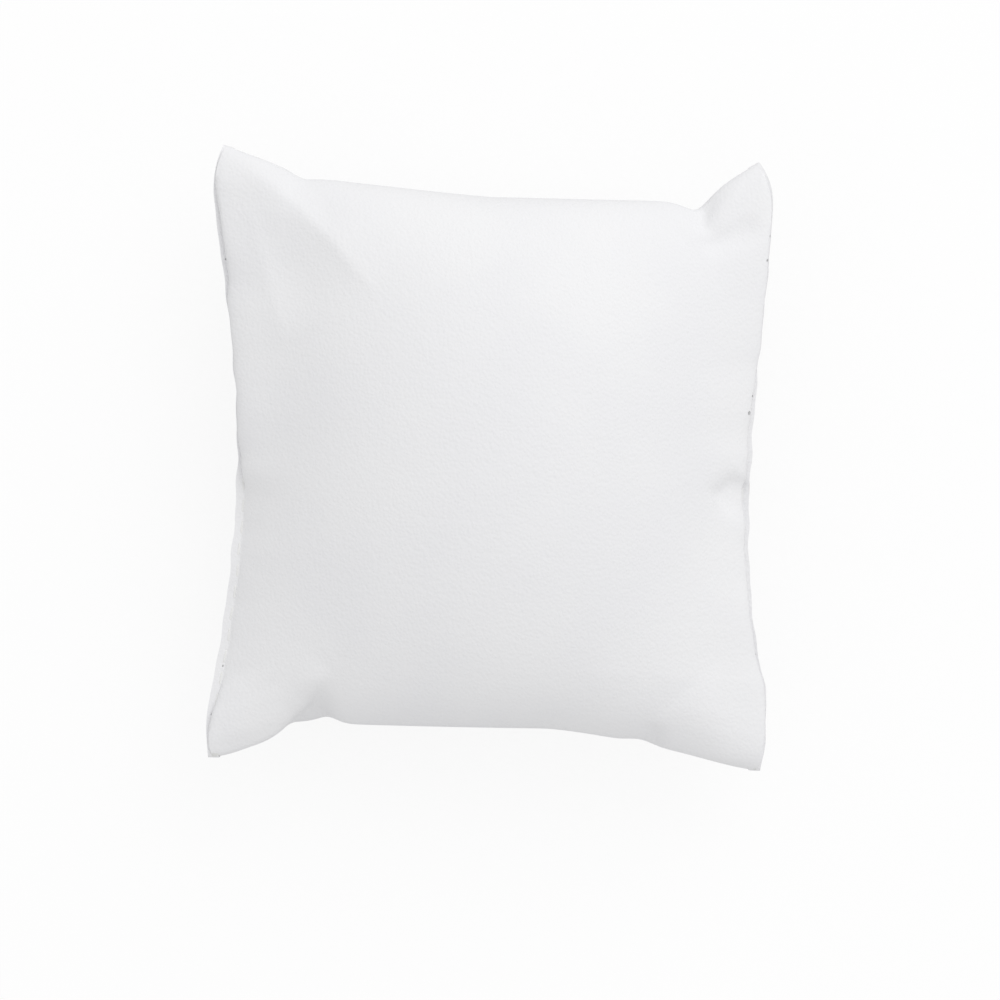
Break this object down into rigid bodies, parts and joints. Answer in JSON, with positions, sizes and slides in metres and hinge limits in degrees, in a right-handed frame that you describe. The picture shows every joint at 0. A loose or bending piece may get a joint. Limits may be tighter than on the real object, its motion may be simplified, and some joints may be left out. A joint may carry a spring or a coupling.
{
  "type": "watch display pillow",
  "caption": "Small stuffed white leatherette pillow with flat sewn sides and four ears, which a watch or bracelet is buckled round for display.",
  "frame": {"origin": "middle of the pillow's outline, on the surface that its back lies on", "axes": "+X to the pillow's right seam, +Y to its top fold, +Z out of the face that carries the watch"},
  "size_m": [0.0914, 0.0996, 0.036],
  "materials": {
    "leatherette": "fine-grained satin white polyurethane leatherette",
    "wadding": "loose white fibre wadding",
    "thread": "white polyester sewing thread"
  },
  "bodies": {
    "root": {"cover": "leatherette", "filling": "wadding", "left_seam_thread": "thread", "right_seam_thread": "thread", "back_seam_thread": "thread"}
  },
  "joints": []
}
